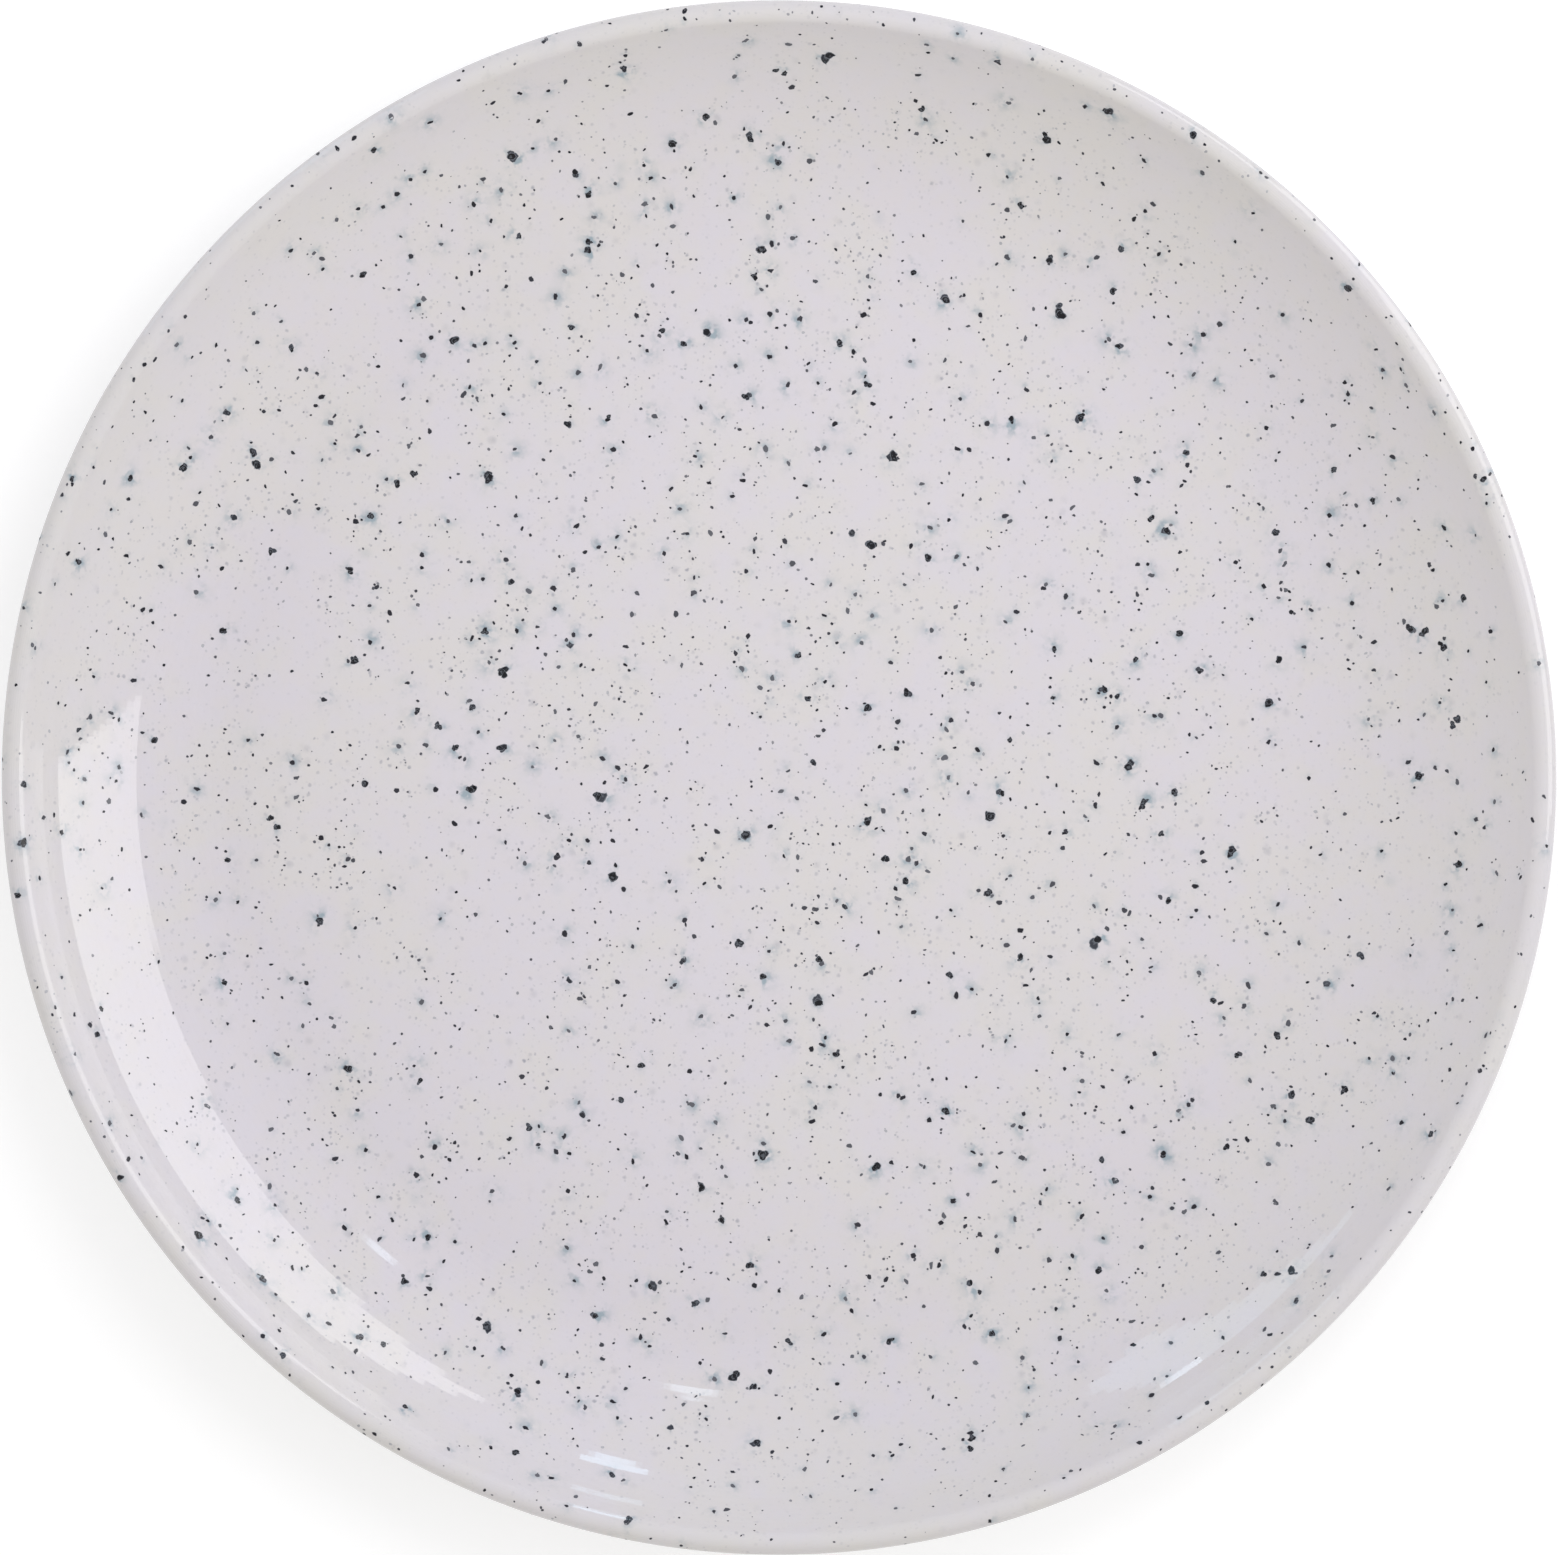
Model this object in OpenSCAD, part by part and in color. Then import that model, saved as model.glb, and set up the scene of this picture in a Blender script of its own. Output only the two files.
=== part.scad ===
// Coupe dinner plate: a fired clay body under a glaze that is full of dark mineral grains.
// The plate stands on z = 0 on its bare foot ring, and its axis is Z.

/* [Plate] */
// Diameter over the lip
plate_d = 270; // [230:1:320]
// Diameter of the flat well
well_d = 193; // [120:1:235]
// Thickness of the finished plate, glaze on both sides included
plate_t = 4.4; // [3:0.1:6]
// Slope of the wall where it runs into the lip, in degrees
lip_slope = 60; // [35:1:75]

/* [Foot ring] */
// Depth of the recess inside the foot ring
foot_h = 3; // [2:0.1:6]
// Width of the foot ring, glaze on both sides included
foot_w = 5.4; // [4:0.1:9]
// How far the foot ring is set in from the edge of the well
foot_inset = 13; // [6:0.5:30]
// Radius of the hollow corner between the foot ring and the base
foot_root_r = 1.4; // [0.6:0.1:2]
// Radius of the two lower edges of the foot ring
foot_edge_r = 0.8; // [0.3:0.1:1.1]

/* [Glaze] */
// Thickness of each coat
glaze_t = 0.4; // [0.2:0.05:0.6]
// Height above the table at which the glaze stops on the foot ring
glaze_line_h = 1.2; // [1.1:0.1:1.5]

/* [Mineral grains] */
// Number of coarse grains in the face coat
face_grains = 206; // [40:1:300]
// Number of coarse grains in the back coat
back_grains = 118; // [20:1:200]
// Number of coarse grains in the base coat
base_grains = 64; // [10:1:120]
// Diameter of the smallest coarse grain
grain_min_d = 0.85; // [0.6:0.05:1]
// Diameter of the largest coarse grain
grain_max_d = 1.5; // [1.1:0.05:1.8]

/* [Hidden] */
$fn = 192;

// Colours of the fired clay, the coats and the grains
clay_colour = "#d9cfc0";
glaze_colour = "#d8d4d7";
grain_colour = "#36353b";

// The lip is a full round, so its radius is half the thickness of the plate
lip_r = plate_t / 2;
well_r = well_d / 2;
lip_axis_r = plate_d / 2 - lip_r;
// Radius of the wall on the eating side, from the flat well to the slope at the lip
wall_r = (lip_axis_r - well_r) / sin(lip_slope) - lip_r;
wall_back_r = wall_r + plate_t;

// Heights of the underside, the well, the centre of the wall's curve and the centre of the lip
base_z = foot_h;
well_z = base_z + plate_t;
wall_axis_z = well_z + wall_r;
lip_axis_z = wall_axis_z - (wall_r + lip_r) * cos(lip_slope);

// Radii of the glazed sides of the foot ring, and of its corners as far as there is room for them
foot_out_r = well_r - foot_inset;
foot_in_r = foot_out_r - foot_w;
root_r = min(foot_root_r, base_z - glaze_line_h);
edge_r = min(foot_edge_r, glaze_line_h, foot_w / 2 - glaze_t);

// Directions in a section, in degrees from the outward radius
toward_rim = 0;
toward_sky = 90;
toward_axis = 180;
toward_table = -90;

// Reach of a cut past the surface that it goes through
overrun = 0.6;
// A second grain is grown onto each grain: its size and its offset, as shares of the first one
twin_d_share = 0.72;
twin_offset_share = 0.46;
// Few grains are large: each one's size is a random number to this power
size_power = 3;
// Share of the lip's radius, out from its crest, that still holds grains of the face coat
lip_field_share = 0.5;
// Radii between which each coat holds its grains
face_field = [0, lip_axis_r + lip_r * lip_field_share];
back_field = [foot_out_r + root_r + grain_max_d, well_r + wall_back_r * sin(lip_slope) - grain_max_d];
base_field = [0, foot_in_r - root_r - grain_max_d];
// Starting numbers for the random places of the grains
face_seed = 11;
back_seed = 23;
base_seed = 37;

// A triangle at the origin that holds every direction between two, as far as a radius
module wedge(radius, from, to) {
  reach = radius / cos((to - from) / 2);
  polygon([[0, 0], reach * [cos(from), sin(from)], reach * [cos(to), sin(to)]]);
}

// A band between two radii, from one direction to another that is less than half a turn away
module arc_band(inner_r, outer_r, from, to) {
  intersection() {
    difference() {
      circle(r = outer_r);
      circle(r = inner_r);
    }
    wedge(2 * outer_r, from, to);
  }
}

module at_wall_axis() {
  translate([well_r, wall_axis_z])
    children();
}

module at_lip_axis() {
  translate([lip_axis_r, lip_axis_z])
    children();
}

// The hollow corners on the outer and the inner side of the foot ring
module at_outer_root() {
  translate([foot_out_r + root_r, base_z - root_r])
    children();
}

module at_inner_root() {
  translate([foot_in_r - root_r, base_z - root_r])
    children();
}

// The clay between a hollow corner, whose centre is the origin, and the square corner behind it
module root_fill(radius, left) {
  difference() {
    translate([left ? -radius : 0, 0])
      square(radius);
    circle(r = radius);
  }
}

// Section of the foot ring in bare clay, with rounded lower edges
module foot_section() {
  left = foot_in_r + glaze_t;
  right = foot_out_r - glaze_t;
  top = base_z + glaze_t;
  translate([left, edge_r])
    square([right - left, top - edge_r]);
  translate([left + edge_r, 0])
    square([right - left - 2 * edge_r, top]);
  translate([left + edge_r, edge_r])
    circle(r = edge_r);
  translate([right - edge_r, edge_r])
    circle(r = edge_r);
}

module clay_section() {
  translate([0, base_z + glaze_t])
    square([well_r, plate_t - 2 * glaze_t]);
  at_wall_axis()
    arc_band(wall_r + glaze_t, wall_back_r - glaze_t, toward_table, toward_table + lip_slope);
  at_lip_axis()
    circle(r = lip_r - glaze_t);
  foot_section();
  at_outer_root()
    root_fill(root_r + glaze_t, true);
  at_inner_root()
    root_fill(root_r + glaze_t, false);
}

module face_section() {
  translate([0, well_z - glaze_t])
    square([well_r, glaze_t]);
  at_wall_axis()
    arc_band(wall_r, wall_r + glaze_t, toward_table, toward_table + lip_slope);
  at_lip_axis()
    arc_band(lip_r - glaze_t, lip_r, toward_rim, toward_sky + lip_slope);
}

module back_section() {
  at_lip_axis()
    arc_band(lip_r - glaze_t, lip_r, toward_table + lip_slope, toward_rim);
  at_wall_axis()
    arc_band(wall_back_r - glaze_t, wall_back_r, toward_table, toward_table + lip_slope);
  translate([foot_out_r + root_r, base_z])
    square([well_r - foot_out_r - root_r, glaze_t]);
  at_outer_root()
    arc_band(root_r, root_r + glaze_t, toward_sky, toward_axis);
  translate([foot_out_r - glaze_t, glaze_line_h])
    square([glaze_t, base_z - root_r - glaze_line_h]);
}

module base_section() {
  translate([0, base_z])
    square([foot_in_r - root_r, glaze_t]);
  at_inner_root()
    arc_band(root_r, root_r + glaze_t, toward_rim, toward_sky);
  translate([foot_in_r, glaze_line_h])
    square([glaze_t, base_z - root_r - glaze_line_h]);
}

// Slope of the eating side at a radius: flat in the well, up the wall, then over the lip
function face_slope(r) =
  r <= well_r ? 0
  : r <= well_r + wall_r * sin(lip_slope) ? asin((r - well_r) / wall_r)
  : asin((lip_axis_r - r) / lip_r);

function face_height(r) =
  r <= well_r ? well_z
  : r <= well_r + wall_r * sin(lip_slope) ? wall_axis_z - wall_r * cos(face_slope(r))
  : lip_axis_z + lip_r * cos(face_slope(r));

function back_slope(r) = r <= well_r ? 0 : asin((r - well_r) / wall_back_r);

function back_height(r) = r <= well_r ? base_z : wall_axis_z - wall_back_r * cos(back_slope(r));

// Radius inside which a share of the area between two radii lies
function field_radius(share, field) =
  sqrt(field[0] * field[0] + share * (field[1] * field[1] - field[0] * field[0]));

// One grain with its twin, along Z through a coat whose surface is at the origin
module grain(d, twin_turn) {
  translate([0, 0, -glaze_t - overrun]) {
    cylinder(d = d, h = glaze_t + 2 * overrun);
    rotate([0, 0, twin_turn])
      translate([d * twin_offset_share, 0, 0])
        cylinder(d = d * twin_d_share, h = glaze_t + 2 * overrun);
  }
}

// Grains scattered evenly over a field, each square to the surface of the face or of the back
module grains(count, field, seed, on_face) {
  turns = rands(0, 360, count, seed);
  sizes = rands(0, 1, count, seed + 1);
  twin_turns = rands(0, 360, count, seed + 2);
  for (i = [0:count - 1]) {
    r = field_radius((i + 0.5) / count, field);
    d = grain_min_d + (grain_max_d - grain_min_d) * pow(sizes[i], size_power);
    rotate([0, 0, turns[i]])
      translate([r, 0, on_face ? face_height(r) : back_height(r)])
        rotate([0, on_face ? -face_slope(r) : toward_axis - back_slope(r), 0])
          grain(d, twin_turns[i]);
  }
}

module face_grains() {
  grains(face_grains, face_field, face_seed, true);
}

module back_grains() {
  grains(back_grains, back_field, back_seed, false);
}

module base_grains() {
  grains(base_grains, base_field, base_seed, false);
}

module clay_body() {
  color(clay_colour)
    rotate_extrude()
      clay_section();
}

module face_glaze() {
  color(glaze_colour)
    difference() {
      rotate_extrude()
        face_section();
      face_grains();
    }
}

module face_speckles() {
  color(grain_colour)
    intersection() {
      face_grains();
      rotate_extrude()
        face_section();
    }
}

module back_glaze() {
  color(glaze_colour)
    difference() {
      rotate_extrude()
        back_section();
      back_grains();
    }
}

module back_speckles() {
  color(grain_colour)
    intersection() {
      back_grains();
      rotate_extrude()
        back_section();
    }
}

module base_glaze() {
  color(glaze_colour)
    difference() {
      rotate_extrude()
        base_section();
      base_grains();
    }
}

module base_speckles() {
  color(grain_colour)
    intersection() {
      base_grains();
      rotate_extrude()
        base_section();
    }
}

clay_body();
face_glaze();
face_speckles();
back_glaze();
back_speckles();
base_glaze();
base_speckles();
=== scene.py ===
"""Coupe dinner plate: a fired clay body under a glossy pale glaze that is full of dark mineral grains.

Lengths are metres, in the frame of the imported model: the plate stands on z = 0 and its axis is Z.
"""

import math
from collections import namedtuple

import bmesh
import bpy
import numpy as np
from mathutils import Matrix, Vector


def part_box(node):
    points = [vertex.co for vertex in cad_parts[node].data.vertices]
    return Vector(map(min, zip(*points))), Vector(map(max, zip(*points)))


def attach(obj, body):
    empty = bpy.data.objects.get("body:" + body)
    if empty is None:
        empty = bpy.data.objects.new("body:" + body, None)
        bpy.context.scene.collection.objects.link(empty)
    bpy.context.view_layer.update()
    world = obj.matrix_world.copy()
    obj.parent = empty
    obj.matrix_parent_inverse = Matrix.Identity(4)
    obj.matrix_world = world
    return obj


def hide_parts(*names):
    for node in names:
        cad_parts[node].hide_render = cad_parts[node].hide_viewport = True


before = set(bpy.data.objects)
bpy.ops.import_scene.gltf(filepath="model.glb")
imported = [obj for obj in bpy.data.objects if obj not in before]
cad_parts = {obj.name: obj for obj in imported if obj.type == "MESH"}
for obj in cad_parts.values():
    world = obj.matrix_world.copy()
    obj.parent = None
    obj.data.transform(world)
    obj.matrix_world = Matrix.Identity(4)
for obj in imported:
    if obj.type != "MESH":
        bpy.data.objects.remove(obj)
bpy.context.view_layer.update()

MM = 0.001
TURN = 2 * math.pi
QUARTER = TURN / 4

# The picture's frame, and the plate's outline in it
PHOTO_W_PX = 1558
PLATE_R_PX = 777.3

# Sizes that the boxes of the CAD nodes don't give
WELL_R = 96.5 * MM
FOOT_INSET = 13 * MM
FOOT_W = 5.4 * MM
ROOT_R = 1.4 * MM
EDGE_R = 0.8 * MM

# Sizes from the boxes of the coats and of the clay
plate_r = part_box("face_glaze")[1].x
crest_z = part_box("face_glaze")[1].z
glaze_line_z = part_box("back_glaze")[0].z
lip_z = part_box("back_glaze")[1].z
coat = plate_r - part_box("clay_body")[1].x
lip_r = crest_z - lip_z
base_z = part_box("base_glaze")[1].z - coat
well_z = base_z + 2 * lip_r

# The wall is an arc that leaves the flat well and ends in the lip, so its slope there follows
lip_run = plate_r - lip_r - WELL_R
lip_rise = lip_z - well_z + lip_r
lip_slope = 2 * math.atan(lip_rise / lip_run)
wall_r = lip_run / math.sin(lip_slope) - lip_r

foot_out_r = WELL_R - FOOT_INSET
foot_in_r = foot_out_r - FOOT_W


# Node trees written as expressions

# Noise goes from 0 to 1 about this middle
NOISE_MEAN = 0.5


class Value:
    """A socket that Python's operators work on: each operation adds a Math node to its tree."""

    def __init__(self, drawing, socket):
        self.drawing = drawing
        self.socket = socket

    def maths(self, operation, *sockets, clamp=False):
        return self.drawing.node("ShaderNodeMath", sockets, operation=operation, use_clamp=clamp)

    def __add__(self, other):
        return self.maths("ADD", self, other)

    def __sub__(self, other):
        return self.maths("SUBTRACT", self, other)

    def __rsub__(self, other):
        return self.maths("SUBTRACT", other, self)

    def __mul__(self, other):
        return self.maths("MULTIPLY", self, other)

    def __truediv__(self, other):
        return self.maths("DIVIDE", self, other)

    def __rtruediv__(self, other):
        return self.maths("DIVIDE", other, self)

    def __mod__(self, other):
        return self.maths("FLOORED_MODULO", self, other)

    def __pow__(self, other):
        return self.maths("POWER", self, other)

    def __lt__(self, other):
        return self.maths("LESS_THAN", self, other)

    def __gt__(self, other):
        return self.maths("GREATER_THAN", self, other)

    def __neg__(self):
        return self.maths("MULTIPLY", self, -1)

    __radd__ = __add__
    __rmul__ = __mul__

    def function(self, operation):
        return self.maths(operation, self)

    def at_least(self, low):
        return self.maths("MAXIMUM", self, low)

    def clamped(self):
        return self.maths("ADD", self, 0, clamp=True)

    def part(self, axis):
        return self.drawing.node("ShaderNodeSeparateXYZ", [self], out=axis)

    def sibling(self, name):
        """Another output of the same node."""
        return Value(self.drawing, in_use(self.socket.node.outputs, name))


def sin(angle):
    return angle.function("SINE") if isinstance(angle, Value) else math.sin(angle)


def cos(angle):
    return angle.function("COSINE") if isinstance(angle, Value) else math.cos(angle)


def in_use(sockets, key):
    """A socket by number or by name: of those that share a name, one for each type, the one in use."""
    if isinstance(key, int):
        return sockets[key]
    return next(s for s in sockets if s.name == key and s.enabled)


class Drawing:
    """A node tree in the making."""

    def __init__(self, tree):
        self.tree = tree

    def node(self, kind, sockets=(), out=None, stops=None, **settings):
        """Adds a node, sets it up, then gives its sockets their values or links, and returns one output."""
        made = self.tree.nodes.new(kind)
        for name, setting in settings.items():
            setattr(made, name, setting)
        for stop, (place, tone) in zip(self.ramp_stops(made, stops), stops or ()):
            stop.position = place
            stop.color = (*tone, 1)
        given = sockets.items() if isinstance(sockets, dict) else enumerate(sockets)
        for key, value in given:
            socket = in_use(made.inputs, key)
            if not isinstance(value, (Value, list)):
                socket.default_value = value
                continue
            for source in value if isinstance(value, list) else [value]:
                self.tree.links.new(source.socket, socket)
        outputs = [s for s in made.outputs if s.enabled]
        if not outputs:
            return made
        return Value(self, outputs[0] if out is None else in_use(made.outputs, out))

    def ramp_stops(self, made, stops):
        if not stops:
            return []
        elements = made.color_ramp.elements
        while len(elements) < len(stops):
            elements.new(1)
        return elements

    def vector(self, operation, *sockets, out=None):
        return self.node("ShaderNodeVectorMath", sockets, out=out, operation=operation)

    def scaled(self, vector, factor):
        return self.node("ShaderNodeVectorMath", {0: vector, "Scale": factor}, operation="SCALE")

    def join(self, x, y, z):
        return self.node("ShaderNodeCombineXYZ", [x, y, z])

    def noise(self, place, wave, detail=2.0, out=None):
        """Noise whose waves have a given length."""
        sockets = {"Vector": place, "Scale": 1 / wave, "Detail": detail}
        return self.node("ShaderNodeTexNoise", sockets, out=out)

    def wander(self, place, wave, detail=2.0):
        """A small vector that wanders about zero, in waves of a given length."""
        return self.vector("SUBTRACT", self.noise(place, wave, detail, out="Color"), (NOISE_MEAN,) * 3)

    def smooth_step(self, value, low, high):
        sockets = {"Value": value, "From Min": low, "From Max": high}
        return self.node("ShaderNodeMapRange", sockets, interpolation_type="SMOOTHSTEP")

    def mixed(self, share, a, b, blend="MIX"):
        sockets = {"Factor": share, "A": a, "B": b}
        return self.node("ShaderNodeMix", sockets, data_type="RGBA", blend_type=blend)


SOCKET_KINDS = {
    float: "NodeSocketFloat",
    int: "NodeSocketInt",
    bpy.types.Object: "NodeSocketObject",
    bpy.types.Material: "NodeSocketMaterial",
}
# Numbers that keep the random choices of a tree apart. A bleed's tree makes only the last two choices.
DRAWS = {"size": 1, "tint": 2, "spin": 3, "stretch": 4, "drift": 5, "lump": 6, "lean": 1, "luck": 2}


class Growth(Drawing):
    """A Geometry Nodes tree with a named input for each of its sizes."""

    def __init__(self, name, inputs):
        super().__init__(bpy.data.node_groups.new(name, "GeometryNodeTree"))
        self.inputs = inputs
        sockets = self.tree.interface
        sockets.new_socket("Geometry", in_out="INPUT", socket_type="NodeSocketGeometry")
        for key, value in inputs.items():
            sockets.new_socket(key, in_out="INPUT", socket_type=SOCKET_KINDS[type(value)])
        sockets.new_socket("Geometry", in_out="OUTPUT", socket_type="NodeSocketGeometry")
        self.start = self.node("NodeGroupInput")

    def __getitem__(self, key):
        return self.start.sibling(key)

    def place(self):
        return self.node("GeometryNodeInputPosition")

    def mesh_of(self, key):
        """The mesh of an object that is one of the tree's inputs."""
        return self.node("GeometryNodeObjectInfo", {"Object": self[key]}, out="Geometry")

    def moved(self, geometry, **sockets):
        return self.node("GeometryNodeSetPosition", {"Geometry": geometry} | sockets)

    def store(self, geometry, name, value, domain="POINT", data_type="FLOAT"):
        return self.node(
            "GeometryNodeStoreNamedAttribute",
            {"Geometry": geometry, "Name": name, "Value": value},
            domain=domain,
            data_type=data_type,
        )

    def named(self, name):
        return self.node("GeometryNodeInputNamedAttribute", {"Name": name}, data_type="FLOAT")

    def chance(self, draw, high=1.0, **sockets):
        """A random number for each point, from one of the draws of the tree's seed."""
        sockets = {"Min": 0.0, "Max": high, "Seed": self["Seed"] + DRAWS[draw]} | sockets
        return self.node("FunctionNodeRandomValue", sockets, data_type="FLOAT")

    def toss(self, draw, **sockets):
        """A random vector for each point, of up to 1 either way along each axis."""
        sockets = {"Min": (-1, -1, -1), "Max": (1, 1, 1), "Seed": self["Seed"] + DRAWS[draw]} | sockets
        return self.node("FunctionNodeRandomValue", sockets, data_type="FLOAT_VECTOR")

    def grow(self, made, geometry):
        """Ends the tree, runs it on an object's mesh and leaves the result there as a plain mesh."""
        geometry = self.node("GeometryNodeRealizeInstances", [geometry])
        geometry = self.node("GeometryNodeSetMaterial", {"Geometry": geometry, "Material": self["Finish"]})
        self.node("NodeGroupOutput", [geometry])
        modifier = made.modifiers.new("growth", "NODES")
        modifier.node_group = self.tree
        for item in self.tree.interface.items_tree:
            if item.in_out == "INPUT" and item.name in self.inputs:
                modifier[item.identifier] = self.inputs[item.name]
        shaped = made.evaluated_get(bpy.context.evaluated_depsgraph_get())
        grown = bpy.data.meshes.new_from_object(shaped)
        made.modifiers.clear()
        made.data = grown
        grown.name = made.name
        return made


class Finish(Drawing):
    """The node tree of a new material."""

    def __init__(self, name):
        self.material = bpy.data.materials.new(name)
        self.material.use_nodes = True
        super().__init__(self.material.node_tree)
        self.tree.nodes.clear()

    def place(self):
        return self.node("ShaderNodeTexCoord", out="Object")

    def attribute(self, name, out="Fac"):
        return self.node("ShaderNodeAttribute", out=out, attribute_name=name)

    def ramp(self, value, stops):
        return self.node("ShaderNodeValToRGB", [value], stops=stops)

    def shaded(self, sockets, kind="ShaderNodeBsdfPrincipled"):
        """Ends the tree in a shader, and returns the material."""
        shader = self.node(kind, sockets)
        self.node("ShaderNodeOutputMaterial", {"Surface": shader})
        return self.material


# Name of the map that each piece is given
MAP_NAME = "OFBake"


def new_piece(name, mesh=None):
    made = bpy.data.objects.new(name, mesh or bpy.data.meshes.new(name))
    bpy.context.collection.objects.link(made)
    return made


# Outlines of the clay and its coats, walked with the solid on the right hand

SEGMENTS = 640
EDGE_ANGLE = math.radians(30)
MERGE_GAP = 1e-6
# A coat's map, in a unit square: a large disc for the side that shows, and a small one for the hidden side
SEEN_MAP_CENTRE = 0.5
SEEN_MAP_R = 0.495
HIDDEN_MAP_CENTRE = 0.06
HIDDEN_MAP_R = 0.04

# A stretch is straight on side 0 and turns to the left on side 1 or to the right on side -1. Its size is a
# length or a radius, and one without steps is a sharp corner.
Stretch = namedtuple("Stretch", "side size angle steps")
# The stretches of an outline lie before, on and after the side that shows. Its hub is the way gone at the
# middle of that side's map, and its reach is the way from there to the map's edge.
Outline = namedtuple("Outline", "start before seen after hub reach")


def run(length, steps=1):
    return Stretch(0, length, 0, steps)


def left(radius, angle, steps):
    return Stretch(1, radius, angle, steps)


def right(radius, angle, steps):
    return Stretch(-1, radius, angle, steps)


def corner_right():
    return Stretch(-1, 0, QUARTER, 0)


def length_of(stretches):
    return sum(s.size * s.angle if s.side else s.size for s in stretches)


def steps_of(stretches):
    return sum(s.steps for s in stretches)


def walk(stretches, walked, r, z, heading):
    """Radius, height and way gone along an outline, at each number of steps from its start."""
    gone, first = 0, 0
    for side, size, angle, steps in stretches:
        if not steps:
            heading = heading + side * angle
            continue
        share = ((walked - first) / steps).clamped()
        first += steps
        if side:
            turned = heading + share * angle * side
            r = r + (sin(turned) - sin(heading)) * size * side
            z = z + (cos(heading) - cos(turned)) * size * side
            gone = gone + share * angle * size
            heading = heading + angle * side
        else:
            r = r + share * size * cos(heading)
            z = z + share * size * sin(heading)
            gone = gone + share * size
    return r, z, gone


def face_outline(size):
    """Over the well, up the wall and over the lip to its outermost line, then back under the coat."""
    over_lip = size["Lip slope"] + QUARTER
    seen = [
        run(size["Well radius"], steps=92),
        left(size["Wall radius"], size["Lip slope"], steps=34),
        right(size["Lip radius"], over_lip, steps=14),
    ]
    hidden = [
        corner_right(),
        run(size["Coat"]),
        corner_right(),
        left(size["Lip radius"] - size["Coat"], over_lip, steps=5),
        right(size["Wall radius"] + size["Coat"], size["Lip slope"], steps=6),
        run(size["Well radius"], steps=2),
    ]
    start = (0, size["Well height"], 0)
    return Outline(start, before=[], seen=seen, after=hidden, hub=0, reach=length_of(seen))


def back_outline(size):
    """From the outermost line of the lip down the back to the foot ring, then back under the coat."""
    under_lip = QUARTER - size["Lip slope"]
    flat = size["Foot inset"] - size["Root radius"]
    side = size["Base height"] - size["Root radius"] - size["Glaze line"]
    back_r = size["Wall radius"] + size["Lip radius"] * 2
    seen = [
        right(size["Lip radius"], under_lip, steps=4),
        right(back_r, size["Lip slope"], steps=40),
        run(flat, steps=12),
        left(size["Root radius"], QUARTER, steps=6),
        run(side),
    ]
    hidden = [
        corner_right(),
        run(size["Coat"]),
        corner_right(),
        run(side),
        right(size["Root radius"] + size["Coat"], QUARTER, steps=3),
        run(flat),
        left(back_r - size["Coat"], size["Lip slope"], steps=8),
        left(size["Lip radius"] - size["Coat"], under_lip, steps=2),
        corner_right(),
        run(size["Coat"]),
    ]
    hub = length_of(seen) + size["Well radius"] - size["Foot inset"]
    start = (size["Plate radius"], size["Lip height"], -QUARTER)
    return Outline(start, before=[], seen=seen, after=hidden, hub=hub, reach=hub)


def base_outline(size):
    """Out over the coat's hidden side, then down the inside of the foot ring and in over the base."""
    flat = size["Foot inner radius"] - size["Root radius"]
    side = size["Base height"] - size["Root radius"] - size["Glaze line"]
    hidden = [
        run(flat, steps=2),
        right(size["Root radius"] + size["Coat"], QUARTER, steps=3),
        run(side),
        corner_right(),
        run(size["Coat"]),
        corner_right(),
    ]
    seen = [
        run(side),
        left(size["Root radius"], QUARTER, steps=6),
        run(flat, steps=70),
    ]
    start = (0, size["Base height"] + size["Coat"], 0)
    hub = length_of(hidden + seen)
    return Outline(start, before=hidden, seen=seen, after=[], hub=hub, reach=length_of(seen))


def clay_outline(size):
    """The whole fired body, from the middle of the well round to the middle of the base."""
    root_r = size["Root radius"] + size["Coat"]
    side = size["Base height"] - size["Root radius"] - size["Edge radius"]
    bare_w = size["Foot width"] - size["Coat"] * 2 - size["Edge radius"] * 2
    seen = [
        run(size["Well radius"], steps=2),
        left(size["Wall radius"] + size["Coat"], size["Lip slope"], steps=12),
        right(size["Lip radius"] - size["Coat"], 2 * QUARTER, steps=10),
        right(size["Wall radius"] + size["Lip radius"] * 2 - size["Coat"], size["Lip slope"], steps=12),
        run(size["Foot inset"] - size["Root radius"], steps=2),
        left(root_r, QUARTER, steps=8),
        run(side),
        right(size["Edge radius"], QUARTER, steps=8),
        run(bare_w, steps=4),
        right(size["Edge radius"], QUARTER, steps=8),
        run(side),
        left(root_r, QUARTER, steps=8),
        run(size["Foot inner radius"] - size["Root radius"], steps=2),
    ]
    start = (0, size["Well height"] - size["Coat"], 0)
    return Outline(start, before=[], seen=seen, after=[], hub=0, reach=length_of(seen))


LATHE_SIZES = {
    "Plate radius": plate_r,
    "Lip height": lip_z,
    "Lip radius": lip_r,
    "Lip slope": lip_slope,
    "Wall radius": wall_r,
    "Well radius": WELL_R,
    "Well height": well_z,
    "Base height": base_z,
    "Coat": coat,
    "Glaze line": glaze_line_z,
    "Foot inset": FOOT_INSET,
    "Foot inner radius": foot_in_r,
    "Foot width": FOOT_W,
    "Root radius": ROOT_R,
    "Edge radius": EDGE_R,
}


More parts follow.
